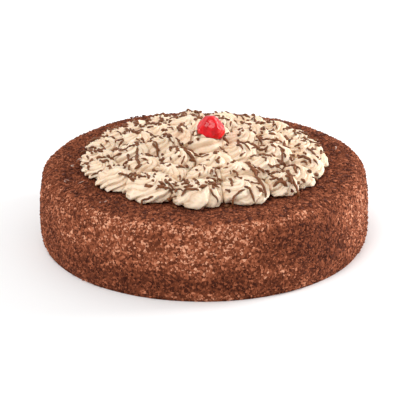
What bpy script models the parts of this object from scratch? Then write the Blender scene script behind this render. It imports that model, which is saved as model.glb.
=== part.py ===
"""A round uncut cake in a chocolate crumb coat, with piped cream stars and a cherry, in metres, +Z up.

The origin is the centre of the flat base, and -Y is the front. Each star is piped against its neighbours:
it fills its own share of the top, out to flat walls half-way to them, so no two dollops overlap.
"""

import math
import random

import bmesh
import bpy
from mathutils import Vector

# The cake: radius at the widest, height of the flat top, and how the side runs
CAKE_RADIUS = 0.130
CAKE_HEIGHT = 0.0627
TOP_TAPER = 0.0034  # how much narrower the side is at the top than at the base
SIDE_BULGE = 0.0021
FOOT_UNDERCUT = 0.0036
FOOT_REACH = 0.0038  # height over which the undercut dies away
SHOULDER_WIDTH = 0.020
SHOULDER_DROP = 0.010
CAKE_STEPS = 64

# The field of piped stars, in three rings round a bigger rosette
GAP = 0.0003  # between pieces that touch
CREAM_RADIUS = 0.0975  # out to the rim of the outer ring
OUTER_RING = 0.0815
MIDDLE_RING = 0.0560
INNER_RING = 0.0315
MIDDLE_STARS = 13
INNER_STARS = 7
INNER_TURN = 14.0  # degrees
BACK_STARS = 13
# Where one front star of the outer ring ends and the next begins, in degrees round from the front
FRONT_GAPS = (-65.5, -45.0, -17.0, 10.0, 36.0, 51.0, 65.0, 79.0)
STAR_SPREAD = 1.24  # a star's free radius over half its spacing, so that neighbours press together
FRONT_SPREAD = 1.10  # the same for the wide stars at the front of the outer ring, which stand freer
FREE_WIDTH = 18.0  # degrees of the ring: the wide ones take more
STAR_STRAY = 0.0012  # how far a star is piped off its place
# How many stars and how tall, in order: the front and back of the outer ring, the middle ring, the inner
STAR_HEIGHTS = (
    (len(FRONT_GAPS) - 1, 0.0132), (BACK_STARS, 0.0098), (MIDDLE_STARS, 0.0168), (INNER_STARS, 0.0210)
)
HEIGHT_WOBBLE = 0.08
STAR_RIDGES = 8
STAR_TWIST = 95.0  # degrees from base to tip
PEAK_LEAN = 0.0024
RIDGE_DEPTH = 0.11  # share of the radius, from mid depth to either side

# The rosette under the cherry
ROSETTE_CENTRE = (0.0045, 0.0)
ROSETTE_RADIUS = 0.0187
ROSETTE_HEIGHT = 0.0215
ROSETTE_RIDGES = 10
ROSETTE_TWIST = 80.0

# A dollop's outline: share of its height, share of its radius
STAR_OUTLINE = ((0.0, 0.88), (0.20, 1.0), (0.50, 0.92), (0.76, 0.66), (0.91, 0.38), (1.0, 0.10))
ROSETTE_OUTLINE = ((0.0, 0.92), (0.16, 1.0), (0.42, 0.91), (0.66, 0.77), (0.86, 0.66), (1.0, 0.54))

# The cherry, sunk a little way into the rosette: a ball pressed flat on several sides
CHERRY_RADIUS = 0.0111
CHERRY_CENTRE = (0.0058, 0.0, 0.0274)  # from the middle of the cake's top
SEAT_GAP = 0.0006  # between the cherry and its seat in the rosette
SPHERE_STEPS = 20
# Each flat: the way it faces, and its distance from the middle as a share of the radius
CHERRY_FLATS = (
    ((0.80, -0.10, 0.60), 0.76),
    ((-0.72, -0.15, 0.68), 0.83),
    ((-0.17, -0.73, 0.66), 0.88),
    ((-0.30, -0.92, 0.25), 0.86),
    ((0.88, -0.44, 0.05), 0.86),
    ((-0.98, -0.10, -0.15), 0.96),
    ((0.30, 0.92, 0.25), 0.86),
    ((-0.60, 0.75, 0.10), 0.88),
    ((0.72, -0.30, -0.62), 0.90),
    ((-0.16, -0.38, -0.91), 0.60),
)


def finish(name, colour, roughness):
    """A plain material of one colour and roughness."""
    material = bpy.data.materials.new(name)
    material.use_nodes = True
    shader = material.node_tree.nodes["Principled BSDF"]
    shader.inputs["Base Color"].default_value = (*colour, 1.0)
    shader.inputs["Roughness"].default_value = roughness
    return material


def add_object(name, data, collection, material):
    """An object of that name in the collection, with its material."""
    data.name = name
    data.materials.append(material)
    thing = bpy.data.objects.new(name, data)
    collection.objects.link(thing)
    return thing


def side_radius(height):
    """Radius of the cake's side at a height: a slight taper, a slight bulge and an undercut foot."""
    share = height / CAKE_HEIGHT
    bulge = SIDE_BULGE * math.sin(math.pi * share)
    return CAKE_RADIUS - TOP_TAPER * share + bulge - FOOT_UNDERCUT * math.exp(-height / FOOT_REACH)


def make_cake(collection):
    """The coated cake: a half profile from the middle of the top to the middle of the base, turned."""
    side_top = CAKE_HEIGHT - SHOULDER_DROP
    shoulder_steps, side_steps = 6, 6
    profile = [(0.0, CAKE_HEIGHT)]
    for i in range(shoulder_steps + 1):
        turn = math.radians(90.0 * (1.0 - i / shoulder_steps))
        across = side_radius(side_top) - SHOULDER_WIDTH * (1.0 - math.cos(turn))
        profile.append((across, side_top + SHOULDER_DROP * math.sin(turn)))
    for i in range(1, side_steps + 1):
        height = side_top * (1.0 - i / side_steps) ** 1.4  # closer together towards the foot
        profile.append((side_radius(height), height))
    profile.append((0.0, 0.0))
    mesh = bpy.data.meshes.new("cake_body")
    points = [(across, 0.0, height) for across, height in profile]
    mesh.from_pydata(points, [(i, i + 1) for i in range(len(points) - 1)], [])
    cake = add_object("cake_body", mesh, collection, finish("chocolate_crumb", (0.16, 0.062, 0.035), 0.8))
    screw = cake.modifiers.new("turn", "SCREW")
    screw.steps = screw.render_steps = CAKE_STEPS
    screw.use_merge_vertices = True
    screw.merge_threshold = 0.00001
    screw.use_smooth_shade = True


def ring_of(count, radius, turn):
    """Evenly spread spots on a ring: (angle from the front in degrees, ring radius, free radius)."""
    spacing = 2.0 * math.pi * radius / count
    return [(turn + 360.0 * i / count, radius, STAR_SPREAD * spacing / 2.0) for i in range(count)]


def stray(most):
    """A short level step in a random direction."""
    turn = random.uniform(0.0, 2.0 * math.pi)
    return most * random.random() * Vector((math.cos(turn), math.sin(turn), 0.0))


def star_spots():
    """Every star's (centre, free radius): the outer ring from its gaps, then the two rings inside it."""
    back = 360.0 - FRONT_GAPS[-1] + FRONT_GAPS[0]
    gaps = list(FRONT_GAPS) + [FRONT_GAPS[-1] + back * (i + 1) / BACK_STARS for i in range(BACK_STARS)]
    spots = []
    for start, end in zip(gaps, gaps[1:]):
        spread = FRONT_SPREAD if end - start > FREE_WIDTH else STAR_SPREAD
        radius = spread * OUTER_RING * math.radians(end - start) / 2.0
        spots.append(((start + end) / 2.0, CREAM_RADIUS - radius, radius))
    spots += ring_of(MIDDLE_STARS, MIDDLE_RING, 0.0)
    spots += ring_of(INNER_STARS, INNER_RING, INNER_TURN)
    placed = []
    for angle, ring, radius in spots:
        turn = math.radians(angle)
        place = Vector((ring * math.sin(turn), -ring * math.cos(turn), 0.0))
        placed.append((place + stray(STAR_STRAY), radius))
    return placed


def walls_round(index, spots):
    """The flat walls where a dollop meets its neighbours: (direction, distance), split by their sizes."""
    centre, radius = spots[index]
    walls = []
    for other, (far, far_radius) in enumerate(spots):
        away = far - centre
        if other == index or away.length > radius + far_radius:
            continue
        share = (away.length_squared + radius**2 - far_radius**2) / (2.0 * away.length)
        walls.append((away.normalized(), share - GAP / 2.0))
    return walls


def make_dollop(name, centre, outline, radius, height, ridges, twist, lean, walls, collection, material):
    """One dollop from a star nozzle: a ridged drum shaped to the outline, turned towards its peak."""
    shape = bmesh.new()
    bmesh.ops.create_cone(shape, cap_ends=True, segments=2 * ridges, radius1=1.0, radius2=1.0, depth=1.0)
    uprights = [edge for edge in shape.edges if abs(edge.verts[0].co.z - edge.verts[1].co.z) > 0.5]
    bmesh.ops.subdivide_edges(shape, edges=uprights, cuts=len(outline) - 2)
    for vert in shape.verts:
        level = round((vert.co.z + 0.5) * (len(outline) - 1))
        rise, across = outline[level]
        angle = math.atan2(vert.co.y, vert.co.x)
        reach = radius * across * (1.0 + RIDGE_DEPTH * (math.cos(ridges * angle) - 1.0))
        angle += twist * rise
        spot = Vector((reach * math.cos(angle), reach * math.sin(angle), 0.0)) + lean * rise**2
        for direction, distance in walls:
            beyond = spot.dot(direction) / distance
            if beyond > 1.0:
                spot /= beyond
        vert.co = spot + Vector((0.0, 0.0, rise * height))
    data = bpy.data.meshes.new(name)
    shape.to_mesh(data)
    shape.free()
    data.shade_smooth()
    dollop = add_object(name, data, collection, material)
    dollop.location = centre + Vector((0.0, 0.0, CAKE_HEIGHT + GAP))
    return dollop


def make_cherry(name, radius, collection, material):
    """A candied cherry: a sphere cut back to each of its flats."""
    shape = bmesh.new()
    bmesh.ops.create_uvsphere(shape, u_segments=SPHERE_STEPS, v_segments=SPHERE_STEPS // 2, radius=1.0)
    for vert in shape.verts:
        beyond = max(vert.co.dot(Vector(facing).normalized()) / distance for facing, distance in CHERRY_FLATS)
        vert.co *= radius / max(1.0, beyond)
    data = bpy.data.meshes.new(name)
    shape.to_mesh(data)
    shape.free()
    data.shade_smooth()
    cherry = add_object(name, data, collection, material)
    cherry.location = Vector(CHERRY_CENTRE) + Vector((0.0, 0.0, CAKE_HEIGHT))
    return cherry


def make_topping(collection, cutters):
    """The stars, the rosette in the middle, and the cherry in a seat cut for it."""
    random.seed(7)
    cream = finish("mocha_cream", (0.80, 0.62, 0.44), 0.5)
    red = finish("cherry", (0.72, 0.02, 0.02), 0.2)
    upright = Vector((0.0, 0.0, 0.0))
    spots = star_spots() + [(Vector((*ROSETTE_CENTRE, 0.0)), ROSETTE_RADIUS)]
    heights = [height for count, height in STAR_HEIGHTS for _ in range(count)]
    for index, (centre, radius) in enumerate(spots[:-1]):
        height = heights[index] * (1.0 + random.uniform(-HEIGHT_WOBBLE, HEIGHT_WOBBLE))
        make_dollop(
            f"cream_star_{index + 1:02d}", centre, STAR_OUTLINE, radius, height, STAR_RIDGES,
            math.radians(STAR_TWIST), stray(PEAK_LEAN), walls_round(index, spots), collection, cream
        )
    rosette = make_dollop(
        "cream_rosette", spots[-1][0], ROSETTE_OUTLINE, ROSETTE_RADIUS, ROSETTE_HEIGHT, ROSETTE_RIDGES,
        math.radians(ROSETTE_TWIST), upright, walls_round(len(spots) - 1, spots), collection, cream
    )
    make_cherry("cherry", CHERRY_RADIUS, collection, red)
    cutter = make_cherry("cherry_seat", CHERRY_RADIUS + SEAT_GAP, cutters, red)
    cutter.hide_render = True
    cutter.display_type = "WIRE"
    seat = rosette.modifiers.new("seat", "BOOLEAN")
    seat.operation = "DIFFERENCE"
    seat.object = cutter


def main():
    for thing in list(bpy.data.objects):
        bpy.data.objects.remove(thing)
    parts = bpy.data.collections.new("marble_cake")
    cutters = bpy.data.collections.new("cutters")
    for collection in (parts, cutters):
        bpy.context.scene.collection.children.link(collection)
    make_cake(parts)
    make_topping(parts, cutters)


main()
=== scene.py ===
import math
import random

import bmesh
import bpy
import numpy as np
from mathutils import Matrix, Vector


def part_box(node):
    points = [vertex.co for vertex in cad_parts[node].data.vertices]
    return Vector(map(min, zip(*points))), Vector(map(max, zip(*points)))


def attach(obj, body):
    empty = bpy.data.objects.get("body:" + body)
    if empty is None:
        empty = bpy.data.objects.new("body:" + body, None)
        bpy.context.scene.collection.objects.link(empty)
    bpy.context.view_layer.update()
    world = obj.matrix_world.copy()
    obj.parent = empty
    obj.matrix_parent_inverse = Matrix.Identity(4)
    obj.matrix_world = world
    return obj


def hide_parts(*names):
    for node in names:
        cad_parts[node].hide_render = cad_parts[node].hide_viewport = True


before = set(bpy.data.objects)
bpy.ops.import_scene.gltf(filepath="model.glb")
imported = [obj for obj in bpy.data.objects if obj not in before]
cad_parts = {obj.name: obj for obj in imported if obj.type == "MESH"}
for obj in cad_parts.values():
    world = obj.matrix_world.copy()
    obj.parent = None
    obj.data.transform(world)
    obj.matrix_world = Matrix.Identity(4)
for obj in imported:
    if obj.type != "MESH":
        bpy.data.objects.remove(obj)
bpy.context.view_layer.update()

# ---- Crumb coat ------------------------------------------------------------------------------------
# The cake itself: filled sponge masked with cream and pressed all over with fine chocolate sponge
# crumbs. The coat is one skin, turned to the cake's profile, whose grain stands up to a millimetre
# proud. The top is darker than the side, where pale crumbs lie in patches; some of those patches are
# painted light and shade, and round the cream's edge the crumbs are darkened with painted shade.
CAKE_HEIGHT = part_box("cake_body")[1].z
CAKE_RADIUS = 0.130
TOP_TAPER = 0.0034  # how much narrower the side is at its top
SIDE_BULGE = 0.0021
FOOT_UNDERCUT = 0.0036
FOOT_REACH = 0.0038  # height over which the undercut dies away
SHOULDER_WIDTH = 0.020
SHOULDER_DROP = 0.010
COAT_AROUND = 800
COAT_PITCH = 0.00105  # between rows of the skin where it shows
COVERED_REACH = 0.084  # distance from the middle up to which the cream covers the skin
GRAIN_SIZE = 0.0027
GRAIN_DEPTH = 0.0010
GRAIN_LEVEL = 0.75  # relief of the grain that counts as none
CRUMB_ROOM = 0.0007  # how far the skin lies inside the cake's size, so that the loose crumbs fit in it
SWELL_SIZE = 0.022
SWELL_DEPTH = 0.0011
RIM_RISES = (  # degrees round from the front, half width in degrees, rise: the rim isn't quite level
    (-149.0, 14.0, 0.0021), (113.0, 11.0, 0.0016), (-114.0, 10.0, -0.001)
)
RIM_INSIDE = 0.099  # radius from which the rim rises
RIM_WIDTH = 0.018  # over which it reaches its full rise
RIM_FADE = 6  # power of the height by which the rise dies away down the side
SIDE_PALE = 0.34  # how pale the side is where there is no patch
TOP_PALE = 0.22
EDGE_BELOW = 0.0012  # how far below the top its colour starts to give way to the side's
EDGE_BLEND = 0.0026  # height over which it does
# Partly pale and darker crumbs, partly painted light and shade: the pale bands just under the shoulder are
# a painted highlight, the paler far left and far right are painted light where the side lamps graze, and
# the darker patches low on the side are painted shade.
PATCHES = (  # (degrees round from the front, height, half width in degrees, half height, how much paler)
    (-32, 0.047, 20, 0.015, 0.42), (-52, 0.044, 12, 0.014, 0.26), (0, 0.044, 16, 0.014, 0.46),
    (-4, 0.029, 16, 0.006, 0.3), (-12, 0.0573, 40, 0.003, 0.42), (26, 0.021, 8, 0.005, 0.4),
    (20, 0.058, 18, 0.003, 0.26), (38, 0.059, 10, 0.004, 0.34), (-2, 0.003, 16, 0.0035, 0.46),
    (72, 0.038, 17, 0.034, 0.4), (-76, 0.04, 12, 0.03, 0.16), (118, 0.04, 24, 0.018, 0.42),
    (172, 0.034, 28, 0.02, 0.44), (-124, 0.042, 24, 0.017, 0.42), (25.5, 0.031, 4, 0.009, 0.2),
    (11.5, 0.049, 5, 0.01, 0.26), (-30, 0.059, 5, 0.004, 0.24), (-8, 0.008, 12, 0.003, 0.24),
    (-18, 0.05, 5, 0.006, -0.52), (-38, 0.012, 24, 0.009, -0.34), (-10, 0.0135, 18, 0.007, -0.36),
    (34, 0.041, 13, 0.014, -0.5), (29, 0.054, 6, 0.005, -0.42), (43, 0.057, 4, 0.004, -0.3),
    (-47, 0.045, 4.5, 0.007, -0.36), (-15, 0.0365, 7, 0.004, -0.24), (5, 0.03, 5, 0.004, -0.26),
    (15, 0.021, 6, 0.003, -0.24), (42, 0.015, 5, 0.004, -0.24), (-40, 0.024, 5, 0.005, -0.2),
    (46, 0.026, 12, 0.014, -0.4), (-64, 0.03, 7, 0.014, -0.2), (94, 0.02, 12, 0.013, -0.28),
    (-98, 0.024, 12, 0.015, -0.28), (146, 0.016, 12, 0.013, -0.28),
)


def chance(cell, salt):
    """A number from 0 to 1 for each whole-number cell, always the same for the same cell and salt:
    the three counts times large primes, mixed and cut to 16 bits."""
    mixed = cell[..., 0] * 73856093 ^ cell[..., 1] * 19349663 ^ cell[..., 2] * 83492791
    mixed = mixed ^ (salt * 2654435761)
    mixed = ((mixed ^ (mixed >> 13)) * 1274126177) & 0xFFFFFFFF
    return ((mixed ^ (mixed >> 15)) & 0xFFFF) / 65535.0


def lumps(points, size, salt):
    """Soft uneven relief from 0 to 1: a chance number at each corner of a grid of cells of that size,
    blended inside the cell by the smooth step 3t^2 - 2t^3 along each axis."""
    where = points / size
    cell = np.floor(where).astype(np.int64)
    part = where - cell
    part = part * part * (3.0 - 2.0 * part)
    total = np.zeros(points.shape[:-1])
    for corner in np.ndindex(2, 2, 2):
        weight = np.where(corner, part, 1.0 - part).prod(axis=-1)
        total += weight * chance(cell + corner, salt)
    return total


def swell(points, depth, size, salt):
    """Soft lumps of that size about a level: from half their depth below it to half above."""
    return depth * (lumps(points, size, salt) - 0.5)


def granules(points, size, salt):
    """Packed round grains from 0 to 1: one minus the square of the distance to the nearest of the
    points that are strewn one to a cell, in cells of that size."""
    where = points / size
    cell = np.floor(where).astype(np.int64)
    nearest = np.full(points.shape[:-1], 9.0)
    for corner in np.ndindex(3, 3, 3):
        home = cell + corner - 1
        spot = home + np.stack([chance(home, salt + k) for k in range(3)], axis=-1)
        nearest = np.minimum(nearest, ((where - spot) ** 2).sum(axis=-1))
    return np.clip(1.0 - nearest, 0.0, 1.0)


def side_radius(height):
    """Radius of the side at a height: a slight taper, half a sine of bulge, and a foot that falls in
    by an exponential over its last few millimetres."""
    share = height / CAKE_HEIGHT
    bulge = SIDE_BULGE * np.sin(np.pi * share)
    return CAKE_RADIUS - TOP_TAPER * share + bulge - FOOT_UNDERCUT * np.exp(-height / FOOT_REACH)


def distance_along(across, up):
    """How far along a profile each of its points lies: the running sum of the steps between them."""
    return np.concatenate([[0.0], np.hypot(np.diff(across), np.diff(up)).cumsum()])


def coat_profile():
    """The half profile from the middle of the top to the middle of the base, as (radius, height) rows:
    flat top, a quarter ellipse for the shoulder, the side, then the base, evenly paced where it shows."""
    side_top = CAKE_HEIGHT - SHOULDER_DROP
    edge = side_radius(side_top) - SHOULDER_WIDTH
    quarter = np.radians(np.linspace(90.0, 0.0, 60))
    down = side_top * (1.0 - np.linspace(0.0, 1.0, 90)[1:])
    across = np.concatenate([
        np.linspace(0.0, edge, 120)[:-1], edge + SHOULDER_WIDTH * np.cos(quarter), side_radius(down)
    ])
    height = np.concatenate([
        np.full(119, CAKE_HEIGHT), side_top + SHOULDER_DROP * np.sin(quarter), down
    ])
    along = distance_along(across, height)
    covered = np.linspace(0.0, COVERED_REACH, 12)[:-1]
    seen = np.linspace(COVERED_REACH, along[-1], int((along[-1] - COVERED_REACH) / COAT_PITCH))
    stations = np.concatenate([covered, seen])
    across = np.interp(stations, along, across)
    height = np.interp(stations, along, height)
    base = across[-1] * np.array([0.97, 0.6, 0.0])
    return np.append(across, base), np.append(height, np.zeros(3))


def turned(across, up, turn):
    """A grid of points from a profile turned round: radius times cosine, radius times sine, and height."""
    return np.stack([across * np.cos(turn), across * np.sin(turn), up + 0.0 * turn], axis=-1)


def closed_turn(rows, columns):
    """The four-cornered faces of a grid of rows that closes round on itself, outwards for rows that run
    from top to bottom and columns that turn from +X to +Y."""
    start = np.arange(rows - 1)[:, None] * columns
    here, after = np.arange(columns), (np.arange(columns) + 1) % columns
    corners = [start + here, start + columns + here, start + columns + after, start + after]
    return np.stack([c.ravel() for c in corners], axis=1)


def in_scene(name, data):
    """A new object in the scene."""
    thing = bpy.data.objects.new(name, data)
    bpy.context.scene.collection.objects.link(thing)
    return thing


def new_piece(name, points, faces, smooth=True, **values):
    """A mesh object at the origin from arrays of points and faces, with rows pinched to a pole merged.
    Each named array of values, one for a point, is stored for the material to read."""
    mesh = bpy.data.meshes.new(name)
    mesh.from_pydata(points.tolist(), [], faces.tolist())
    for label, numbers in values.items():
        mesh.attributes.new(label, "FLOAT", "POINT").data.foreach_set("value", numbers.astype(np.float32))
    whole = bmesh.new()
    whole.from_mesh(mesh)
    bmesh.ops.remove_doubles(whole, verts=whole.verts, dist=1e-7)
    whole.to_mesh(mesh)
    whole.free()
    mesh.polygons.foreach_set("use_smooth", np.full(len(mesh.polygons), smooth))
    return in_scene(name, mesh)


def rim_rise(x, y):
    """How far the rim stands above the level top at a place: a bell of the angle round for each rise,
    times a slope that grows from the inside of the rim outwards."""
    turn = np.degrees(np.arctan2(x, -y))
    rise = np.zeros(turn.shape)
    for middle, wide, most in RIM_RISES:
        rise += most * np.exp(-(((turn - middle + 180.0) % 360.0 - 180.0) / wide) ** 2)
    return rise * np.clip((np.hypot(x, y) - RIM_INSIDE) / RIM_WIDTH, 0.0, 1.0)


def paleness(points):
    """How pale the crumbs are at each point, from 0 to 1, painted light and shade included: a middling
    level on the side, low on the top and at the foot, with bell-shaped patches added or taken away, some
    of them painted light and shade, and broken up by soft lumps."""
    turn = np.degrees(np.arctan2(points[..., 0], -points[..., 1]))
    height = points[..., 2]
    pale = np.full(turn.shape, SIDE_PALE)
    for middle, level, wide, tall, strength in PATCHES:
        off = (turn - middle + 180.0) % 360.0 - 180.0
        pale += strength * np.exp(-(off / wide) ** 2 - ((height - level) / tall) ** 2)
    pale += swell(points, 0.40, 0.011, 5) + swell(points, 0.40, 0.0045, 6)
    on_side = np.clip((CAKE_HEIGHT - EDGE_BELOW - height) / EDGE_BLEND, 0.0, 1.0)
    on_top = TOP_PALE + swell(points, 0.30, 0.007, 7) + swell(points, 0.40, 0.019, 8)
    return np.clip(pale * on_side + on_top * (1.0 - on_side), 0.0, 1.0)


BASE_ROWS = 4  # the last of the skin, under the cake, which stay flat
across, height = coat_profile()
turn = np.linspace(0.0, 2.0 * np.pi, COAT_AROUND, endpoint=False)
plain = turned(across[:, None], height[:, None], turn)
outward = np.stack([np.gradient(-height), np.gradient(across)], axis=1)
outward /= np.linalg.norm(outward, axis=1)[:, None]
normal = turned(outward[:, :1], outward[:, 1:], turn)
relief = GRAIN_DEPTH * (granules(plain, GRAIN_SIZE, 11) - GRAIN_LEVEL)
relief += swell(plain, SWELL_DEPTH, SWELL_SIZE, 3)
relief -= CRUMB_ROOM
relief[-BASE_ROWS:] = 0.0
skin = plain + normal * relief[..., None]
skin[..., 2] += rim_rise(plain[..., 0], plain[..., 1]) * (plain[..., 2] / CAKE_HEIGHT) ** RIM_FADE
skin_points = skin.reshape(-1, 3)
coat_faces = closed_turn(len(across), COAT_AROUND)
coat = new_piece("crumb_coat", skin_points, coat_faces, pale=paleness(skin_points))

# The shade of one crumb: its own chance number c and how pale its patch is, p, make a tone that picks
# a brown from dark cocoa through copper to pale sponge:
# 0.48 c + 0.24 p - 0.055 + 0.50 (c p)^2 + (0.10 + 0.30 p) c^8.
# So pale crumbs are frequent in a pale patch and rare outside it. p carries painted light and shade too,
# and the c^8 term, which makes the odd crumb much paler, is partly pale sponge and partly a painted glint.
# The coat and loose crumbs share it.
CRUMB_BROWNS = (
    (0.0, (0.052, 0.011, 0.005)), (0.25, (0.165, 0.042, 0.017)), (0.5, (0.31, 0.09, 0.04)),
    (0.75, (0.5, 0.172, 0.086)), (1.0, (0.74, 0.35, 0.212)),
)
crumb_brown = bpy.data.node_groups.new("crumb_brown", "ShaderNodeTree")
for name, kind in (("Chance", "NodeSocketFloat"), ("Pale and painted light", "NodeSocketFloat")):
    crumb_brown.interface.new_socket(name, in_out="INPUT", socket_type=kind)
crumb_brown.interface.new_socket("Color", in_out="OUTPUT", socket_type="NodeSocketColor")
inside = crumb_brown.nodes
wire = crumb_brown.links.new


def sum_node(operation, *values):
    """A Math node in the group, with sockets wired or numbers set: its output."""
    node = inside.new("ShaderNodeMath")
    node.operation = operation
    for socket, value in zip(node.inputs, values):
        if isinstance(value, float):
            socket.default_value = value
        else:
            wire(value, socket)
    return node.outputs[0]


def ramp_of(nodes, wire, value, stops):
    """A ramp through colours, each given after its place from 0 to 1: the colour output."""
    ramp = nodes.new("ShaderNodeValToRGB")
    while len(ramp.color_ramp.elements) < len(stops):
        ramp.color_ramp.elements.new(0.5)
    for element, (place, colour) in zip(ramp.color_ramp.elements, stops):
        element.position = place
        element.color = (*colour, 1.0)
    wire(value, ramp.inputs[0])
    return ramp.outputs["Color"]


given, taken = inside.new("NodeGroupInput"), inside.new("NodeGroupOutput")
own, patch = given.outputs["Chance"], given.outputs["Pale and painted light"]
tone = sum_node("MULTIPLY_ADD", own, 0.48, sum_node("MULTIPLY_ADD", patch, 0.24, -0.055))
tone = sum_node("MULTIPLY_ADD", sum_node("POWER", sum_node("MULTIPLY", own, patch), 2.0), 0.50, tone)
# How much paler the odd crumb is: partly pale sponge, partly a painted glint.
spark = sum_node("MULTIPLY_ADD", patch, 0.30, 0.10)
tone = sum_node("MULTIPLY_ADD", sum_node("POWER", own, 8.0), spark, tone)
wire(ramp_of(inside, wire, tone, CRUMB_BROWNS), taken.inputs["Color"])


def new_material(name, roughness, specular, others={}):
    """A material with these set on its Principled BSDF, the others by their names: (material, nodes,
    link, shader)."""
    material = bpy.data.materials.new(name)
    material.use_nodes = True
    shader = material.node_tree.nodes["Principled BSDF"]
    for socket, value in {"Roughness": roughness, "Specular IOR Level": specular, **others}.items():
        shader.inputs[socket].default_value = value
    return material, material.node_tree.nodes, material.node_tree.links.new, shader


def stored(nodes, name):
    """The number that a mesh stores for each vertex under that name: the value output."""
    node = nodes.new("ShaderNodeAttribute")
    node.attribute_name = name
    return node.outputs["Fac"]


def wire_bump(nodes, wire, shader, height, strength, distance, invert=False):
    """Roughens a material's surface by a height, through a Bump node that feeds the normal."""
    bump = nodes.new("ShaderNodeBump")
    bump.inputs["Strength"].default_value = strength
    bump.inputs["Distance"].default_value = distance
    bump.invert = invert
    wire(height, bump.inputs["Height"])
    wire(bump.outputs["Normal"], shader.inputs["Normal"])


def wire_crumb_brown(nodes, wire, shader, own):
    """Colours a material by the crumb_brown group, from a chance number and the stored paleness, which
    holds painted light and shade as well.
    """
    brown = nodes.new("ShaderNodeGroup")
    brown.node_tree = crumb_brown
    wire(own, brown.inputs["Chance"])
    wire(stored(nodes, "pale"), brown.inputs["Pale and painted light"])
    wire(brown.outputs["Color"], shader.inputs["Base Color"])


material, nodes, wire, shader = new_material("crumb_coat", 0.85, 0.12)
where = nodes.new("ShaderNodeTexCoord")
cells = nodes.new("ShaderNodeTexVoronoi")
cells.inputs["Scale"].default_value = 500.0
apart = nodes.new("ShaderNodeSeparateColor")
wire(where.outputs["Object"], cells.inputs["Vector"])
wire(cells.outputs["Color"], apart.inputs["Color"])
wire_crumb_brown(nodes, wire, shader, apart.outputs["Red"])
wire_bump(nodes, wire, shader, cells.outputs["Distance"], 0.8, 0.0006, invert=True)
coat.data.materials.append(material)
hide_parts("cake_body")
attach(coat, "root")

# ---- Loose crumbs ----------------------------------------------------------------------------------
# Sponge crumbs that stick to the coat: angular bits from 1 to 2.7 mm across, of which small ones are
# the commonest. Dark ones lie on the top round the cream, and a paler mix is pressed against the side.
CRUMB_CORNERS = 12
CRUMB_PULL = (0.62, 1.15)  # how far a corner is drawn in or out, as a share of its distance
SMALL_POWER = 2.5  # how much commoner small crumbs are
CRUMB_SUNK = 0.06  # how far a crumb's middle lies under the skin, as a share of its size


def crumb_form():
    """The corners and faces of a regular body with twenty faces: each corner is (0, 1, g) in some
    order and signs, with g the golden ratio, brought to length one."""
    form = bmesh.new()
    bmesh.ops.create_icosphere(form, subdivisions=1, radius=1.0)
    corners = np.array([v.co for v in form.verts])
    faces = np.array([[v.index for v in f.verts] for f in form.faces])
    form.free()
    return corners, faces


def any_turn(draw, count):
    """That many turns in space with no favoured direction, as 3 by 3 arrays, from unit quaternions."""
    w, x, y, z = draw.normal(size=(count, 4)).T
    size = np.sqrt(w * w + x * x + y * y + z * z)
    w, x, y, z = w / size, x / size, y / size, z / size
    return np.stack([
        1 - 2 * (y * y + z * z), 2 * (x * y - z * w), 2 * (x * z + y * w),
        2 * (x * y + z * w), 1 - 2 * (x * x + z * z), 2 * (y * z - x * w),
        2 * (x * z - y * w), 2 * (y * z + x * w), 1 - 2 * (x * x + y * y),
    ], axis=1).reshape(count, 3, 3)


def crumbs_on(name, seed, count, nearest, furthest, small, large):
    """Crumbs strewn evenly over a stretch of the coat's profile, from one distance along it to another:
    each is the twenty-faced form with its corners pulled in or out at random, turned any way and set on
    the skin."""
    draw = np.random.default_rng(seed)
    along = distance_along(across, height)
    station = draw.uniform(nearest, furthest, count)
    wide = np.interp(station, along, across)
    station = station[draw.random(count) < wide / wide.max()]
    spin = draw.uniform(0.0, 2.0 * np.pi, len(station))
    row = np.interp(station, along, np.arange(len(along)))
    column = (spin / (2.0 * np.pi) * COAT_AROUND).astype(int)
    foot = skin[row.astype(int), column]
    facing = normal[row.astype(int), column]
    size = small + (large - small) * draw.random(len(station)) ** SMALL_POWER
    corners, faces = crumb_form()
    pull = draw.uniform(*CRUMB_PULL, (len(station), CRUMB_CORNERS, 1))
    bits = np.einsum("nij,nkj->nki", any_turn(draw, len(station)), corners * pull)
    bits *= size[:, None, None] / 2.0
    bits += (foot - facing * size[:, None] * CRUMB_SUNK)[:, None, :]
    bits[..., 2] = np.clip(bits[..., 2], 0.0, None)
    joined = (faces[None] + CRUMB_CORNERS * np.arange(len(station))[:, None, None]).reshape(-1, 3)
    own = np.repeat(draw.random(len(station)), CRUMB_CORNERS)
    pale = np.repeat(paleness(foot), CRUMB_CORNERS)
    piece = new_piece(name, bits.reshape(-1, 3), joined, smooth=False, chance=own, pale=pale)
    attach(piece, "root")
    return piece


crumb_material, nodes, wire, shader = new_material("loose_crumb", 0.8, 0.15)
wire_crumb_brown(nodes, wire, shader, stored(nodes, "chance"))
for name, seed, count, nearest, furthest, small, large in (
    ("top_crumbs", 21, 9500, 0.092, 0.130, 0.0010, 0.0023),
    ("side_crumbs", 22, 9500, 0.124, 0.186, 0.0014, 0.0027),
    ("fine_side_crumbs", 23, 9500, 0.124, 0.186, 0.0010, 0.0016),
):
    crumbs_on(name, seed, count, nearest, furthest, small, large).data.materials.append(crumb_material)

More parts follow.
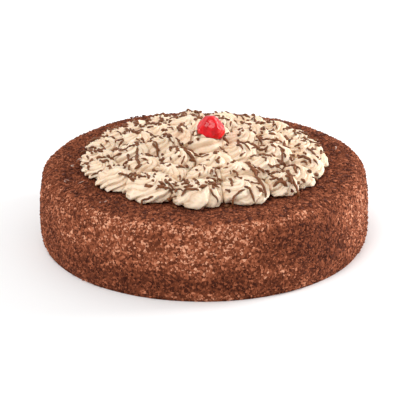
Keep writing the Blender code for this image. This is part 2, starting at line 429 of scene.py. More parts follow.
# ---- Piped stars -----------------------------------------------------------------------------------
# Whipped mocha cream from a star nozzle, piped in three rings that press together. The nozzle was
# turned as it rose, so each star's deep rounded ridges wind half round it from foot to peak.
GAP = 0.0003  # between the stars and the cake
SEAM = 0.00004  # between two stars that press together
CREAM_RADIUS = 0.0975
OUTER_RING = 0.0815
MIDDLE_RING = 0.0560
INNER_RING = 0.0315
MIDDLE_STARS = 13
INNER_STARS = 7
INNER_TURN = 14.0
BACK_STARS = 13
FRONT_GAPS = (-65.5, -45.0, -17.0, 10.0, 36.0, 51.0, 65.0, 79.0)  # degrees round, between front stars
STAR_SPREAD = 1.24  # a star's free radius over half its spacing, so that neighbours press together
FRONT_SPREAD = 1.10  # the same for the wide stars at the front, which stand freer
FREE_WIDTH = 18.0  # degrees of the outer ring: the wide ones take more
STAR_STRAY = 0.0012  # how far a star is piped off its place
STAR_HEIGHTS = (  # how many and how tall: front and back of the outer ring, middle ring, inner ring
    (len(FRONT_GAPS) - 1, 0.0132), (BACK_STARS, 0.0098), (MIDDLE_STARS, 0.0168), (INNER_STARS, 0.021)
)
HEIGHT_WOBBLE = 0.08  # share by which heights differ
PEAK_LEAN = 0.0024  # how far a tip is dragged off the middle
STAR_OUTLINE = (  # from foot to tip: (share of the height, share of the radius)
    (0.0, 0.84), (0.14, 1.00), (0.4, 0.97), (0.68, 0.82), (0.87, 0.55), (1.0, 0.14)
)
ROUNDING = 0.11  # share of the way along it, to either side, that a corner is rounded over
STAR_RIDGES = (7, 10)  # from, and one more than to
STAR_TWIST = 2.6  # radians from foot to tip
TWIST_RANGE = (0.75, 1.2)  # by which one star's is more or less
RIDGE_DEPTH = 0.0020
RIDGE_LEVEL = 0.80  # relief of the ridges that counts as none
FINE_DEPTH = 0.0006  # of the three small ribs on each ridge
RIDGE_CREST = 0.70  # where across a ridge its crest lies: the side that faces down is the steep one
FOOT_FLARE = 0.9  # how much deeper the ridges are at the foot
FLARE_HEIGHT = 0.26  # share of the height over which that dies away
TIP_FADE = 0.08  # share of the way over which they die away at the tip
STAR_AROUND, STAR_UP = 168, 56
WALL_POWER = 26.0  # how crisply two stars meet


def stray(most):
    """A short level step in a random direction."""
    turn = random.uniform(0.0, 2.0 * math.pi)
    return most * random.random() * np.array([math.cos(turn), math.sin(turn), 0.0])


def ring_of(count, radius, turn):
    """Evenly spread spots on a ring: (angle from the front in degrees, ring radius, free radius)."""
    spacing = 2.0 * math.pi * radius / count
    return [(turn + 360.0 * i / count, radius, STAR_SPREAD * spacing / 2.0) for i in range(count)]


def star_spots():
    """Every star's (centre, free radius): the outer ring from its gaps, then the two rings inside it."""
    back = 360.0 - FRONT_GAPS[-1] + FRONT_GAPS[0]
    gaps = list(FRONT_GAPS) + [FRONT_GAPS[-1] + back * (i + 1) / BACK_STARS for i in range(BACK_STARS)]
    spots = []
    for start, end in zip(gaps, gaps[1:]):
        spread = FRONT_SPREAD if end - start > FREE_WIDTH else STAR_SPREAD
        radius = spread * OUTER_RING * math.radians(end - start) / 2.0
        spots.append(((start + end) / 2.0, CREAM_RADIUS - radius, radius))
    spots += ring_of(MIDDLE_STARS, MIDDLE_RING, 0.0)
    spots += ring_of(INNER_STARS, INNER_RING, INNER_TURN)
    placed = []
    for angle, ring, radius in spots:
        turn = math.radians(angle)
        place = np.array([ring * math.sin(turn), -ring * math.cos(turn), 0.0])
        placed.append((place + stray(STAR_STRAY), radius))
    return placed


def walls_round(index, spots):
    """The flat walls where a dollop meets its neighbours: (direction, distance), split by their sizes."""
    centre, radius = spots[index]
    walls = []
    for other, (far, far_radius) in enumerate(spots):
        away = far - centre
        length = float(np.linalg.norm(away))
        if other == index or length > radius + far_radius:
            continue
        share = (length**2 + radius**2 - far_radius**2) / (2.0 * length)
        walls.append((away / length, share - SEAM / 2.0))
    return walls


def smooth_outline(outline, radius, height):
    """(across, up, share of the way) of the outline from foot to tip in metres, paced evenly and rounded:
    the mean over a window slid along the straight-sided outline, narrowed to nothing at both ends."""
    rise, share = np.array(outline).T
    across, up = share * radius, rise * height
    along = distance_along(across, up)
    way = np.linspace(0.0, 1.0, STAR_UP)
    window = np.linspace(-ROUNDING, ROUNDING, 15)
    narrow = np.minimum(1.0, np.minimum(way, 1.0 - way) / ROUNDING)
    spots = np.clip(way[:, None] + window * narrow[:, None], 0, 1)
    across, up = (np.interp(spots * along[-1], along, values).mean(axis=1) for values in (across, up))
    return across, up, way


def dollop(centre, outline, radius, height, lean, walls, ridges, twist, depth, salt):
    """A piped swirl as a grid of rows from foot to tip, and how deep in a groove each point lies, 0 to 1.
    The plain shape is the outline turned round. The relief is set off along the outline's normal: each
    ridge climbs slowly to its crest and falls steeply, by the soft lesser of two slopes, and the ridges
    turn on the way up, flare at the foot and differ in size, with three fine ribs on each and soft lumps
    of dragged cream. Walls press the swirl in by a high-power mean, so its edges stay rounded."""
    across, up, way = smooth_outline(outline, radius, height)
    turn = np.linspace(0.0, 2.0 * np.pi, STAR_AROUND, endpoint=False)
    out, rise = np.gradient(up), -np.gradient(across)
    size = np.hypot(out, rise)
    level = (up / height)[:, None]
    spots = turned(across[:, None], up[:, None], turn) + centre
    wound = (turn - twist * way[:, None]) / (2.0 * np.pi) + chance(np.array([salt, 1, 1]), 9)
    phase = (wound + swell(spots, 0.12, 0.009, salt)) * ridges
    part = phase - np.floor(phase)
    cell = np.zeros(phase.shape + (3,), np.int64)
    cell[..., 0] = np.floor(phase).astype(np.int64) % ridges
    climb = np.clip(part / RIDGE_CREST, 1e-6, None)
    fall = np.clip((1.0 - part) / (1.0 - RIDGE_CREST), 1e-6, None)
    crest = (climb ** -5.0 + fall ** -5.0) ** (-0.2 * 0.7)
    full = 0.70 + 0.6 * chance(cell, salt)
    fade = np.clip((1.0 - way) / TIP_FADE, 0.0, 1.0)[:, None]
    flare = 1.0 + FOOT_FLARE * np.exp(-(level / FLARE_HEIGHT) ** 2)
    relief = fade * depth * (flare * full * crest - RIDGE_LEVEL)
    ribs = np.abs(np.sin(np.pi * (3.0 * phase + 0.8 * lumps(spots, 0.004, salt + 3))))
    relief += fade * FINE_DEPTH * ribs
    relief += fade * (swell(spots, 0.0016, 0.0050, salt + 1) + swell(spots, 0.0012, 0.0022, salt + 2))
    reach = across[:, None] + relief * (out / size)[:, None]
    lift = up[:, None] + relief * (rise / size)[:, None]
    spots = turned(reach, 0.0 * reach, turn)
    spots += lean * (np.clip(lift / height, 0.0, 1.0) ** 2)[..., None]
    pressed = np.ones(reach.shape)
    for direction, distance in walls:
        pressed += np.clip(spots @ direction / distance, 0.0, None) ** WALL_POWER
    spots /= (pressed ** (1.0 / WALL_POWER))[..., None]
    spots[..., 2] = np.clip(lift, 0.0, None)
    spots[0, :, 2] = 0.0
    return spots + centre + [0.0, 0.0, CAKE_HEIGHT + GAP], np.clip(1.0 - crest, 0.0, 1.0) * fade


def cream_piece(name, node, rows, groove):
    """The swirl as a closed piece that stands for a node: the grid from tip to foot, with a pole at the
    tip and a flat middle under the foot, and its grooves' depths as an attribute, by which the cream's
    material darkens its grooves with painted shade."""
    tip, foot = (np.repeat(rows[end].mean(axis=0)[None], rows.shape[1], axis=0)[None] for end in (-1, 0))
    whole = np.concatenate([tip, rows[::-1], foot])
    deep = np.concatenate([groove[-1:] * 0.0, groove[::-1], groove[:1] * 0.0])
    piece = new_piece(name, whole.reshape(-1, 3), closed_turn(*whole.shape[:2]), groove=deep.ravel())
    piece.data.materials.append(cream)
    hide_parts(node)
    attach(piece, "root")
    cream_points.append(rows.reshape(-1, 3))


def noise_over(nodes, wire, scale, detail):
    """Cloudy noise fixed to the piece, so many times finer than a metre: the value output."""
    where = nodes.new("ShaderNodeTexCoord")
    noise = nodes.new("ShaderNodeTexNoise")
    noise.inputs["Scale"].default_value = scale
    noise.inputs["Detail"].default_value = detail
    wire(where.outputs["Object"], noise.inputs["Vector"])
    return noise.outputs["Fac"]


CREAM_TINTS = ((0.35, (0.84, 0.645, 0.465)), (0.68, (0.93, 0.775, 0.6)))
# Painted shade: the cream is darkened towards this brown in its grooves, by how deep they lie.
GROOVE_SHADE_TINT = (0.6, 0.37, 0.215, 1.0)
cream, nodes, wire, shader = new_material("mocha_cream", 0.5, 0.4, {
    "Subsurface Weight": 0.25, "Subsurface Radius": (1.0, 0.6, 0.35), "Subsurface Scale": 0.0025,
})
deep = nodes.new("ShaderNodeMath")
deep.operation = "POWER"
deep.inputs[1].default_value = 3.0
shade = nodes.new("ShaderNodeMix")
shade.data_type = "RGBA"
shade.inputs["B"].default_value = GROOVE_SHADE_TINT
wire(stored(nodes, "groove"), deep.inputs[0])
wire(deep.outputs[0], shade.inputs["Factor"])
wire(ramp_of(nodes, wire, noise_over(nodes, wire, 90.0, 4.0), CREAM_TINTS), shade.inputs["A"])
wire(shade.outputs["Result"], shader.inputs["Base Color"])
wire_bump(nodes, wire, shader, noise_over(nodes, wire, 1400.0, 3.0), 0.25, 0.0003)

random.seed(7)
ROSETTE_CENTRE = (0.0045, 0.0)
ROSETTE_RADIUS = 0.0187
spots = star_spots() + [(np.array([*ROSETTE_CENTRE, 0.0]), ROSETTE_RADIUS)]
cream_points = []
heights = [height for count, height in STAR_HEIGHTS for _ in range(count)]
draw = np.random.default_rng(5)
for index, (centre, radius) in enumerate(spots[:-1]):
    star_height = heights[index] * (1.0 + random.uniform(-HEIGHT_WOBBLE, HEIGHT_WOBBLE))
    lean = stray(PEAK_LEAN)
    ridges = int(draw.integers(*STAR_RIDGES))
    twist = STAR_TWIST * draw.uniform(*TWIST_RANGE)
    star = dollop(
        centre, STAR_OUTLINE, radius, star_height, lean, walls_round(index, spots),
        ridges, twist, RIDGE_DEPTH, 100 + 5 * index,
    )
    cream_piece(f"piped_star_{index + 1:02d}", f"cream_star_{index + 1:02d}", *star)

# Painted shade where the cream's edge lies on the crumbs: the coat and top crumbs there are darkened as if
# in its shadow, the notches between stars the most.
EDGE_SHADE_REACH = 0.0024  # how far from the cream's edge the crumbs are darkened with painted shade
EDGE_SHADE_AMOUNT = 0.62
EDGE_SHADE_BELOW = 0.004  # below the top, past which there is no painted shade


def points_of(piece):
    """The piece's vertices as an array."""
    flat = np.empty(len(piece.data.vertices) * 3, np.float32)
    piece.data.vertices.foreach_get("co", flat)
    return flat.reshape(-1, 3).astype(float)


def shade_cream_edge(piece):
    """Darkens the crumbs that touch the cream with painted shade, as if the cream's edge shadowed them:
    their paleness falls by a bell of their distance from the nearest star's round."""
    points = points_of(piece)
    away = np.full(len(points), 1.0)
    for centre, radius in spots[:-1]:
        away = np.minimum(away, np.hypot(*(points - centre)[:, :2].T) - radius)
    pale = np.empty(len(points), np.float32)
    piece.data.attributes["pale"].data.foreach_get("value", pale)
    near = np.exp(-(np.clip(away, 0.0, None) / EDGE_SHADE_REACH) ** 2)
    near *= points[:, 2] > CAKE_HEIGHT - EDGE_SHADE_BELOW
    piece.data.attributes["pale"].data.foreach_set("value", (pale - EDGE_SHADE_AMOUNT * near).astype(np.float32))


# Paints shade round the cream's edge on the coat and the top crumbs.
shade_cream_edge(coat)
shade_cream_edge(bpy.data.objects["top_crumbs"])

# ---- Cherry ----------------------------------------------------------------------------------------
# A candied cherry, cut once and pressed flat on several sides by its neighbours in the jar: clear red
# flesh in a glossy sugar skin. It sits in the rosette on its cut face.
CHERRY_RADIUS = 0.0111
CHERRY_CENTRE = np.array([0.0058, 0.0, 0.0274 + CAKE_HEIGHT])
CHERRY_FLATS = (  # the way that each faces, and its distance from the middle in radii
    ((0.8, -0.1, 0.6), 0.76), ((-0.72, -0.15, 0.68), 0.83), ((-0.17, -0.73, 0.66), 0.88),
    ((-0.3, -0.92, 0.25), 0.86), ((0.88, -0.44, 0.05), 0.86), ((-0.98, -0.1, -0.15), 0.96),
    ((0.3, 0.92, 0.25), 0.86), ((-0.6, 0.75, 0.1), 0.88), ((0.72, -0.3, -0.62), 0.9),
    ((-0.16, -0.38, -0.91), 0.6),
)
FLAT_POWER = 36.0  # how crisply two flats meet
FLAT_MARGIN = 1.02  # makes up for what the soft edges take off
CHERRY_REDS = ((0.32, (0.48, 0.001, 0.004)), (0.72, (0.82, 0.006, 0.012)))


def cherry_reach(way):
    """Distance from the cherry's middle to its skin along each unit direction: the radius, cut back to
    each flat by a high-power mean, so that the edges between flats are soft."""
    beyond = np.ones(way.shape[:-1])
    for facing, distance in CHERRY_FLATS:
        facing = np.array(facing) / np.linalg.norm(facing)
        beyond += np.clip(way @ facing / distance, 0.0, None) ** FLAT_POWER
    return FLAT_MARGIN * CHERRY_RADIUS / beyond ** (1.0 / FLAT_POWER)


drop = np.linspace(0.0, np.pi, 72)[:, None]
turn = np.linspace(0.0, 2.0 * np.pi, 110, endpoint=False)
way = turned(np.sin(drop), np.cos(drop), turn)
wrinkle = swell(way * CHERRY_RADIUS, 0.0007, 0.0042, 31) + swell(way * CHERRY_RADIUS, 0.0003, 0.0017, 32)
rows = CHERRY_CENTRE + way * (cherry_reach(way) + wrinkle)[..., None]
cherry = new_piece("candied_cherry", rows.reshape(-1, 3), closed_turn(*rows.shape[:2]))
material, nodes, wire, shader = new_material("candied_cherry", 0.13, 0.24, {
    "Subsurface Weight": 0.15, "Subsurface Radius": (1.0, 0.08, 0.06), "Subsurface Scale": 0.003,
    "Coat Weight": 0.18, "Coat Roughness": 0.05,
})
flesh = noise_over(nodes, wire, 240.0, 3.0)
wire(ramp_of(nodes, wire, flesh, CHERRY_REDS), shader.inputs["Base Color"])
cherry.data.materials.append(material)
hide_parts("cherry")
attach(cherry, "root")

# ---- Rosette under the cherry ----------------------------------------------------------------------
# The same cream in a bigger swirl. The cherry was pushed into it while it was soft, so its top is
# dented to the cherry's form, with a lip round the fruit.
ROSETTE_HEIGHT = 0.0215
ROSETTE_RIDGES = 6
ROSETTE_TWIST = 6.0  # radians from foot to tip
ROSETTE_DEPTH = 0.0022
SMOOTH_FROM = 0.45  # share of the height from which the ridges merge into a round edge
SMOOTH_COLUMNS = 5  # that each point there is averaged over, either way round
SMOOTH_GROWTH = 1.6  # how soon up the swirl that is complete
LIP_RISE = 0.0060  # how far the cream was pushed up against the cherry's left front
LIP_WAY = (-0.64, -0.77)
LIP_PLACE, LIP_WIDTH = 0.65, 0.55  # that way from the middle, in the rosette's radii
ROSETTE_OUTLINE = (
    (0.0, 0.92), (0.16, 1.0), (0.42, 0.91), (0.66, 0.77), (0.86, 0.66), (1.0, 0.54), (1.0, 0.02)
)
SEAT_GAP = 0.0002
LIP_THICKNESS = 0.0008  # least cream between the cherry and the outside
RIM_ROW = 39  # of the grid: the outside lies below it, the seat from it inwards
centre = spots[-1][0]
rows, groove = dollop(
    centre, ROSETTE_OUTLINE, ROSETTE_RADIUS, ROSETTE_HEIGHT, np.zeros(3),
    walls_round(len(spots) - 1, spots), ROSETTE_RIDGES, ROSETTE_TWIST, ROSETTE_DEPTH, 900,
)
raised = np.clip((rows[..., 2] - CAKE_HEIGHT) / ROSETTE_HEIGHT - SMOOTH_FROM, 0.0, None)
raised /= 1.0 - SMOOTH_FROM
shifts = range(-SMOOTH_COLUMNS, SMOOTH_COLUMNS + 1)
smoothed = np.mean([np.roll(rows, step, axis=1) for step in shifts], axis=0)
rows += (smoothed - rows) * np.clip(SMOOTH_GROWTH * raised, 0.0, 1.0)[..., None]
toward_lip = (rows - centre)[..., :2] @ np.array(LIP_WAY) / ROSETTE_RADIUS
rows[..., 2] += LIP_RISE * raised * np.exp(-((toward_lip - LIP_PLACE) / LIP_WIDTH) ** 2)
offset = rows[:RIM_ROW + 1] - CHERRY_CENTRE
distance = np.linalg.norm(offset, axis=-1)
way = offset / distance[..., None]
outside = np.maximum(distance, cherry_reach(way) + LIP_THICKNESS)
rows[:RIM_ROW + 1] = CHERRY_CENTRE + way * outside[..., None]
inward = np.linspace(0.0, 1.0, STAR_UP - RIM_ROW)[:, None]
way = way[-1] * (1.0 - inward[..., None]) + np.array([0.0, 0.0, -1.0]) * inward[..., None]
way /= np.linalg.norm(way, axis=-1, keepdims=True)
seat = cherry_reach(way) + SEAT_GAP
seat += np.clip(outside[-1] - seat, 0.0, None) * (1.0 - inward) ** 4
rows[RIM_ROW:] = CHERRY_CENTRE + way * seat[..., None]
cream_piece("piped_rosette", "cream_rosette", rows, groove)

# ---- Chocolate drizzle -----------------------------------------------------------------------------
# Melted dark chocolate flicked over the cream from a fine hole: set threads about a millimetre thick
# that curl, cross each other, lie over the ridges and hang across the creases between stars.
MAP_PITCH = 0.0005  # of the level grid on which the heights under the threads are kept
MAP_HALF = 0.132
THREAD_SIDES = 6
THREAD_WAVES = (0.016, 0.034)  # lengths over which a thread swings
BEAD_DEPTH, BEAD_LENGTH = 0.30, 0.006  # how much its thickness swells and shrinks, and over what length
THREAD_LIFT = 0.35  # of its radius: how far its middle lies above what carries it
SAG = 70.0  # the drop of a hanging thread over the square of its half span, per metre
HANG_STEPS = 10  # along a thread, for which it may hang from its highest place
MAP_SOFTENING = 6  # rounds of averaging before the steepness is taken
TRIES = 12000  # places tried for the threads that are spread out
STEEPEST = 3.0  # the true over the level area at which every place tried is used
FORWARD_SHARE = 0.88  # of the threads that fell mostly forward
BARE_SPOTS = (  # where hardly any fell: (place, radius)
    ((0.0035, -0.0125), 0.007), ((-0.072, -0.06), 0.014), ((0.006, -0.093), 0.01),
    ((-0.052, -0.08), 0.009), ((-0.033, -0.089), 0.009), ((-0.011, -0.095), 0.006),
    ((0.03, -0.09), 0.01), ((0.056, -0.076), 0.007), ((0.0215, -0.011), 0.005),
    ((-0.01, -0.052), 0.007), ((0.029, -0.05), 0.006), ((0.036, -0.066), 0.006),
)
LONG_THREADS = (  # the ones that catch the eye: (start, heading, turning, length, thickness), in degrees
    ((0.031, -0.043), -50, -40, 0.037, 0.0024), ((0.038, -0.062), -50, -40, 0.026, 0.0022),
    ((0.05, -0.062), -50, 15, 0.018, 0.0018), ((0.063, -0.057), -60, -10, 0.021, 0.0024),
    ((0.043, -0.014), -75, 25, 0.021, 0.0018), ((0.025, -0.002), -50, -20, 0.022, 0.0016),
    ((0.018, -0.095), 50, -30, 0.016, 0.0016), ((-0.05, -0.091), 30, -25, 0.013, 0.0016),
    ((-0.053, -0.027), -85, 10, 0.018, 0.0026), ((-0.052, -0.011), -80, -15, 0.013, 0.002),
    ((-0.027, -0.07), -75, 35, 0.021, 0.0016), ((-0.017, -0.091), 60, -110, 0.016, 0.002),
    ((-0.016, -0.027), -25, -20, 0.011, 0.0028), ((-0.04, -0.005), -60, -30, 0.017, 0.0016),
    ((0.073, -0.024), -55, 25, 0.014, 0.0024), ((0.005, -0.084), -70, 20, 0.012, 0.0016),
    ((0.03, -0.083), -20, -60, 0.013, 0.002), ((-0.066, -0.055), 10, -50, 0.017, 0.0018),
    ((-0.048, 0.048), -20, -30, 0.013, 0.002), ((0.082, 0.008), -80, 20, 0.018, 0.002),
    ((0.06, -0.012), -85, 10, 0.022, 0.0016), ((-0.034, 0.014), -50, -20, 0.018, 0.0018),
    ((-0.036, -0.083), 70, -120, 0.014, 0.0016), ((0.064, -0.073), 150, 60, 0.012, 0.0022),
)
LONG_POINTS = 60
LONG_SWING = 12.0  # degrees either way
LONG_WAVE = 0.011  # length of a swing


def height_map():
    """The highest cream or cake over each square of a level grid: the coat's profile by radius, raised
    to the cream's points, with squares that no point fell in raised to their neighbours' mean."""
    squares = int(2 * MAP_HALF / MAP_PITCH) + 1
    middle = (np.arange(squares) - squares // 2) * MAP_PITCH
    radius = np.hypot(middle[:, None], middle)
    order = np.argsort(across[:-3])
    ground = np.interp(radius, across[:-3][order], height[:-3][order]) - CRUMB_ROOM
    ground += rim_rise(middle[:, None], middle + 0.0 * middle[:, None])
    raised = np.zeros((squares, squares))
    every = np.concatenate(cream_points)
    column = np.rint(every[:, :2] / MAP_PITCH).astype(int) + squares // 2
    np.maximum.at(raised, (column[:, 0], column[:, 1]), every[:, 2])
    for _ in range(3):
        around = np.stack([np.roll(raised, step, axis) for step in (-1, 1) for axis in (0, 1)])
        filled = around.sum(axis=0) / np.maximum(1, (around > 0).sum(axis=0))
        raised = np.where((raised == 0) & ((around > 0).sum(axis=0) >= 2), filled, raised)
    return np.maximum(ground, raised), squares


def walked(angle, step):
    """The level places that threads pass, from their starts: the sum of even steps at their angles."""
    return (np.stack([np.cos(angle), np.sin(angle)], axis=-1) * step[..., None]).cumsum(axis=1)


def tapered(share):
    """A thread's thickness along it, from nothing at both ends: the root of one less a sixth power."""
    return np.sqrt(1.0 - np.abs(2.0 * share - 1.0) ** 6)


def threads(draw, middles, length, heading, sway, thickness, points):
    """Plan paths, radii and steps of threads round their middles: each heads off at an angle that swings
    as the sum of two sine waves and a steady curl, stepping evenly along its length."""
    count = len(middles)
    share = np.linspace(0.0, 1.0, points)
    long = draw.uniform(*length, (count, 1))
    waves = np.zeros((count, points))
    for wave in THREAD_WAVES:
        size = draw.uniform(0.4, 1.0, (count, 1))
        turns = share * long / (wave * draw.uniform(0.7, 1.4, (count, 1)))
        waves += size * np.sin(2 * np.pi * (turns + draw.random((count, 1))))
    angle = heading(draw, count)[:, None] + sway * waves + draw.normal(0.0, sway, (count, 1)) * share * 2.0
    step = long / (points - 1)
    path = walked(angle, step)
    path += middles[:, None] - path.mean(axis=1, keepdims=True)
    beads = 1.0 + BEAD_DEPTH * np.sin(2 * np.pi * (share * long / BEAD_LENGTH + draw.random((count, 1))))
    return path, draw.uniform(*thickness, (count, 1)) / 2.0 * beads * tapered(share), step


def long_threads():
    """The threads that catch the eye as paths, radii and steps: each leaves its start at its heading and
    turns evenly by its turning, with a sine wave on top that starts anywhere, by the thread's place."""
    start, heading, turning, length, thickness = (np.array(values) for values in zip(*LONG_THREADS))
    share = np.linspace(0.0, 1.0, LONG_POINTS)
    step = length[:, None] / (LONG_POINTS - 1)
    swing = LONG_SWING * np.sin(2.0 * np.pi * (share * length[:, None] / LONG_WAVE + 300.0 * start[:, :1]))
    angle = np.radians(heading[:, None] + turning[:, None] * share + swing)
    return start[:, None] + walked(angle, step), thickness[:, None] / 2.0 * tapered(share), step


def off_bare_spots(path, radius, step):
    """The threads whose middles lie outside every bare spot."""
    middle = path[:, path.shape[1] // 2]
    clear = np.all([np.hypot(*(middle - place).T) > bare for place, bare in BARE_SPOTS], axis=0)
    return path[clear], radius[clear], step[clear]


def drape(path, radius, step):
    """Heights for the threads: each lies on the highest thing near it, less the drop of a parabola that
    a thread hangs in, so that it bridges narrow creases."""
    place = np.clip(path / MAP_PITCH + squares // 2, 0, squares - 1.001)
    corner = place.astype(int)
    weight = np.stack([1 - (place - corner), place - corner])
    below = np.zeros(path.shape[:2])
    for j, i in np.ndindex(2, 2):
        square = surface[corner[..., 0] + i, corner[..., 1] + j]
        below += square * weight[i, ..., 0] * weight[j, ..., 1]
    hung = below.copy()
    for shift in range(-HANG_STEPS, HANG_STEPS + 1):
        if shift:
            moved = np.roll(below, shift, axis=1)
            edge = slice(0, shift) if shift > 0 else slice(shift, None)
            moved[:, edge] = 0.0
            hung = np.maximum(hung, moved - SAG * (shift * step) ** 2)
    return hung + THREAD_LIFT * radius


def tubes(path, level, radius, flat=1.0):
    """Every thread as a closed tube: rings of points square to its run, as thick as flat times their
    width, pinched shut at both ends."""
    spine = np.concatenate([path, level[..., None]], axis=-1)
    run = np.gradient(spine, axis=1)
    run /= np.linalg.norm(run, axis=-1, keepdims=True)
    side = np.cross(run, [0.0, 0.0, 1.0])
    side /= np.linalg.norm(side, axis=-1, keepdims=True)
    over = np.cross(side, run)
    turn = np.linspace(0.0, 2.0 * np.pi, THREAD_SIDES, endpoint=False)
    rings = spine[:, :, None] + radius[..., None, None] * (
        np.cos(turn)[:, None] * side[:, :, None] + flat * np.sin(turn)[:, None] * over[:, :, None]
    )
    count, stations = path.shape[:2]
    faces = closed_turn(stations, THREAD_SIDES)[:, ::-1]
    faces = faces[None] + (np.arange(count) * stations * THREAD_SIDES)[:, None, None]
    return rings.reshape(-1, 3), faces.reshape(-1, 4)


def spread_out(draw, reach, apart):
    """Middles for threads out to a radius, strewn evenly over the true surface: random places, steep ones
    more often by their area, of which each is kept if it lies that far from all kept before it."""
    soft = surface.copy()
    for _ in range(MAP_SOFTENING):
        soft = (soft + sum(np.roll(soft, step, axis) for step in (-1, 1) for axis in (0, 1))) / 5.0
    steep = np.sqrt(1.0 + (np.gradient(soft, axis=0) ** 2 + np.gradient(soft, axis=1) ** 2) / MAP_PITCH**2)
    turn = draw.uniform(0.0, 2.0 * np.pi, TRIES)
    out = reach * np.sqrt(draw.random(TRIES))
    places = np.stack([out * np.cos(turn), out * np.sin(turn)], axis=1)
    column, row = (np.rint(places / MAP_PITCH).astype(int) + squares // 2).T
    wanted = draw.random(TRIES) < steep[column, row] / STEEPEST
    spots = np.column_stack([places, soft[column, row]])[wanted]
    kept = spots[:1]
    for spot in spots[1:]:
        if ((kept - spot) ** 2).sum(axis=1).min() > apart**2:
            kept = np.vstack([kept, spot])
    return kept[:, :2]


def strewn(draw, count, nearest, furthest, start, end):
    """Middles for threads anywhere between two radii and two angles round from the front."""
    turn = np.radians(draw.uniform(start, end, count))
    out = np.sqrt(draw.uniform(nearest**2, furthest**2, count))
    return np.stack([out * np.sin(turn), -out * np.cos(turn)], axis=1)


def any_way(draw, count):
    """Headings with no favoured direction."""
    return draw.uniform(0.0, 2.0 * np.pi, count)


def forward(draw, count):
    """Headings that favour the front and a little right: the spout was swung across the cake."""
    ahead = draw.normal(-64.0, 18.0, count)
    return np.radians(np.where(draw.random(count) < FORWARD_SHARE, ahead, draw.uniform(0.0, 360.0, count)))


def down_right(draw, count):
    """Headings to the right and front, as the long threads were flicked."""
    return np.radians(draw.normal(-58.0, 14.0, count))


# Each group of threads: (middles, shortest and longest, headings, sway, thinnest and thickest, points).
surface, squares = height_map()
draw = np.random.default_rng(12)
groups = [threads(draw, *group) for group in (
    (spread_out(draw, 0.0955, 0.0084), (0.0042, 0.0088), forward, 0.45, (0.0011, 0.0022), 14),
    (spread_out(draw, 0.0955, 0.0112), (0.0024, 0.0042), any_way, 0.4, (0.0013, 0.0024), 7),
    (strewn(draw, 20, 0.045, 0.096, 110, 250), (0.003, 0.007), forward, 0.5, (0.0015, 0.0022), 12),
    (strewn(draw, 16, 0.070, 0.085, -72, 50), (0.003, 0.0065), forward, 0.5, (0.0013, 0.0021), 12),
    (spread_out(draw, 0.088, 0.044), (0.012, 0.019), forward, 0.8, (0.0011, 0.0016), 30),
    (strewn(draw, 3, 0.030, 0.080, 30, 130), (0.018, 0.030), down_right, 0.35, (0.0012, 0.0017), 54),
    (strewn(draw, 28, 0.062, 0.095, 178, 238), (0.003, 0.007), forward, 0.5, (0.0016, 0.0024), 12),
    (strewn(draw, 14, 0.066, 0.094, 88, 150), (0.003, 0.0065), forward, 0.5, (0.0015, 0.0022), 12),
    (strewn(draw, 10, 0.084, 0.095, 238, 275), (0.003, 0.0065), forward, 0.5, (0.0015, 0.0022), 12),
)]
last_draw = np.random.default_rng(6)
groups += [threads(last_draw, *group) for group in (
    (strewn(last_draw, 42, 0.064, 0.095, -62, 62), (0.0035, 0.008), any_way, 0.8, (0.0016, 0.0025), 18),
    (strewn(last_draw, 8, 0.020, 0.090, -110, 20), (0.005, 0.011), forward, 0.8, (0.0014, 0.0022), 20),
)]
groups = [off_bare_spots(*group) for group in groups] + [long_threads()]
drizzle_points, drizzle_faces, used = [], [], 0
for path, radius, step in groups:
    rings, faces = tubes(path, drape(path, radius, step), radius)
    drizzle_points.append(rings)
    drizzle_faces.append(faces + used)
    used += len(rings)
drizzle = new_piece("chocolate_drizzle", np.concatenate(drizzle_points), np.concatenate(drizzle_faces))
CHOCOLATE_BROWNS = ((0.3, (0.112, 0.035, 0.01)), (0.75, (0.26, 0.09, 0.032)))
material, nodes, wire, shader = new_material("set_chocolate", 0.38, 0.25)
bloom = noise_over(nodes, wire, 260.0, 2.0)
wire(ramp_of(nodes, wire, bloom, CHOCOLATE_BROWNS), shader.inputs["Base Color"])
drizzle.data.materials.append(material)
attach(drizzle, "root")

# ---- Flakes and curls on the ring ------------------------------------------------------------------
# Scraps that fell beside the cream: thin dark chocolate flakes lying flat among the crumbs, and a few
# pale curls of white chocolate, most of them on the left.
SCRAP_LIFT = 0.0002
CURL_SPOTS = np.array([
    (-0.103, -0.005), (-0.098, -0.003), (-0.1065, -0.0365), (-0.095, -0.0405), (-0.076, -0.08),
    (0.106, 0.03), (0.02, 0.106),
])
FLAKE_TINTS = ((0.3, (0.06, 0.014, 0.008)), (0.7, (0.15, 0.045, 0.026)))
CURL_TINTS = ((0.3, (0.34, 0.17, 0.13)), (0.7, (0.6, 0.44, 0.36)))


def scraps(name, label, middles, length, sway, thickness, points, flat, tints):
    """Flat bent scraps laid on the coat as one piece: short threads as thick as flat times their width,
    in a noisy blend of two colours."""
    path, radius, step = threads(draw, middles, length, any_way, sway, thickness, points)
    level = drape(path, radius * flat, step)
    piece = new_piece(name, *tubes(path, level + SCRAP_LIFT, radius, flat))
    material, nodes, wire, shader = new_material(label, 0.7, 0.12)
    patchy = noise_over(nodes, wire, 300.0, 2.0)
    wire(ramp_of(nodes, wire, patchy, tints), shader.inputs["Base Color"])
    piece.data.materials.append(material)
    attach(piece, "root")


ring_spots = strewn(draw, 200, 0.098, 0.120, 0.0, 360.0)
scraps("chocolate_flakes", "dark_flake", ring_spots, (0.0025, 0.0055), 0.5, (0.0014, 0.0024), 8, 0.35,
       FLAKE_TINTS)
scraps("pale_curls", "pale_curl", CURL_SPOTS, (0.005, 0.009), 1.2, (0.0009, 0.0014), 16, 0.5, CURL_TINTS)

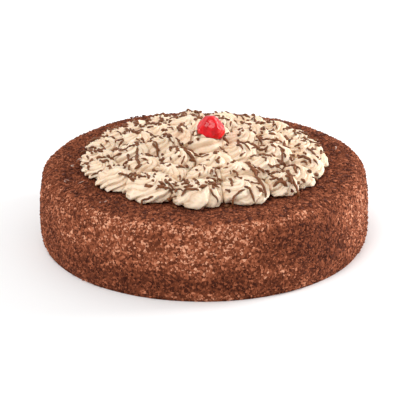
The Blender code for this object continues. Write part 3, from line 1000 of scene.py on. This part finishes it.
# ---- Floor, light and camera -----------------------------------------------------------------------
# A plain pale surface to stand on, a bright even sky, a soft sun from the front left, and a soft lamp on
# each side.
bpy.ops.mesh.primitive_plane_add(size=8.0)
floor = bpy.context.object
floor.name = "floor"
FLOOR_COLOUR = (0.93, 0.93, 0.93, 1.0)
material, nodes, wire, shader = new_material("pale_floor", 0.7, 0.5, {"Base Color": FLOOR_COLOUR})
floor.data.materials.append(material)

world = bpy.data.worlds.new("even_sky")
world.use_nodes = True
sky = world.node_tree.nodes["Background"]
sky.inputs["Color"].default_value = (1.0, 1.0, 1.0, 1.0)
sky.inputs["Strength"].default_value = 0.72
bpy.context.scene.world = world
LAMP_AIM = Vector((0.0, 0.0, 0.04))


def stand(holder, place, aim):
    """Sets a lamp or camera at a place, turned to face the aim."""
    holder.location = place
    holder.rotation_euler = (aim - Vector(place)).to_track_quat("-Z", "Y").to_euler()


def lamp(name, kind, place, power, width):
    """A soft lamp that faces the cake: an area lamp's width is in metres, a sun's in radians. Its power
    is in watts, or for a sun in watts a square metre."""
    data = bpy.data.lights.new(name, kind)
    if kind == "SUN":
        data.angle = width
    else:
        data.size = width
    data.energy = power
    stand(in_scene(name, data), place, LAMP_AIM)


lamp("key_lamp", "SUN", (-0.7, -1.0, 1.9), 1.35, 0.6)
lamp("right_lamp", "AREA", (1.3, 0.35, 0.45), 20.0, 0.6)
lamp("left_lamp", "AREA", (-1.4, 0.3, 0.4), 4.0, 0.6)

CAMERA_DISTANCE = 1.82
CAMERA_RISE = 23.2  # degrees above the table
CAMERA_ROLL = -0.27  # degrees
CAMERA_LENS = 204.75  # millimetres
CAMERA_AIM = Vector((-0.0030, 0.0, 0.0305))
camera_data = bpy.data.cameras.new("camera")
camera_data.lens = CAMERA_LENS
camera = in_scene("camera", camera_data)
rise = math.radians(CAMERA_RISE)
stand(camera, (0.0, -CAMERA_DISTANCE * math.cos(rise), CAMERA_DISTANCE * math.sin(rise)), CAMERA_AIM)
camera.rotation_euler.rotate_axis("Z", math.radians(CAMERA_ROLL))
bpy.context.scene.camera = camera
bpy.context.scene.view_settings.view_transform = "Standard"
